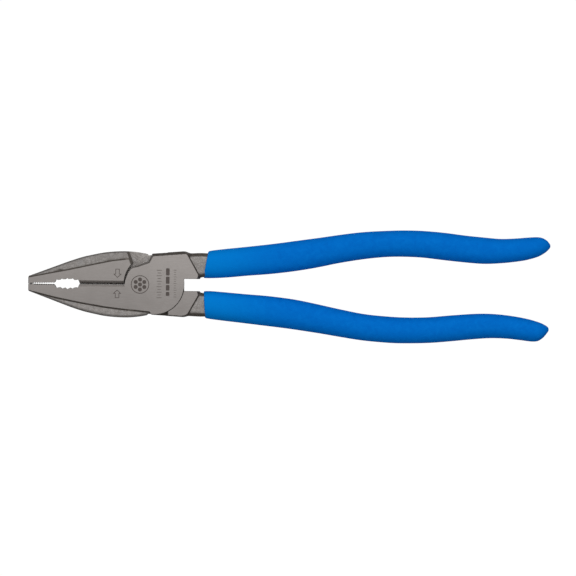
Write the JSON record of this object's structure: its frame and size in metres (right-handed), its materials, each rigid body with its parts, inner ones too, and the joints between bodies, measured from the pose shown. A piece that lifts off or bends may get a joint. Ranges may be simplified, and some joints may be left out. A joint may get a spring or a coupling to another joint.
{
  "type": "lineman pliers",
  "caption": "Lap-joint lineman pliers with serrated flat nose, pipe grip, side cutters and slim dip-coated bow handles.",
  "frame": {"origin": "on the pivot axis, at the rivet's flush rear end in the plane on which the closed tool lies flat", "axes": "+X from the pivot towards the handles, along the closed tool; +Z along the pivot axis from the rear face to the front face; +Y across the tool, towards the upper handle"},
  "size_m": [0.2253, 0.0488, 0.012],
  "materials": {
    "forged_steel": "ground faces with fine grain, rough forged flanks",
    "rivet_steel": "ground flush with the head",
    "dipped_plastic": "satin dipped vinyl, faintly mottled"
  },
  "bodies": {
    "rear": {"lever_rear": "forged_steel", "pivot_rivet": "rivet_steel", "grip_lower": "dipped_plastic"},
    "front": {"lever_front": "forged_steel", "grip_upper": "dipped_plastic"}
  },
  "joints": [
    {"name": "pivot", "type": "hinge", "parent": "rear", "child": "front", "pos_m": [0, 0, 0.006], "axis": [0, 0, 1], "range_deg": [0, 35]}
  ]
}
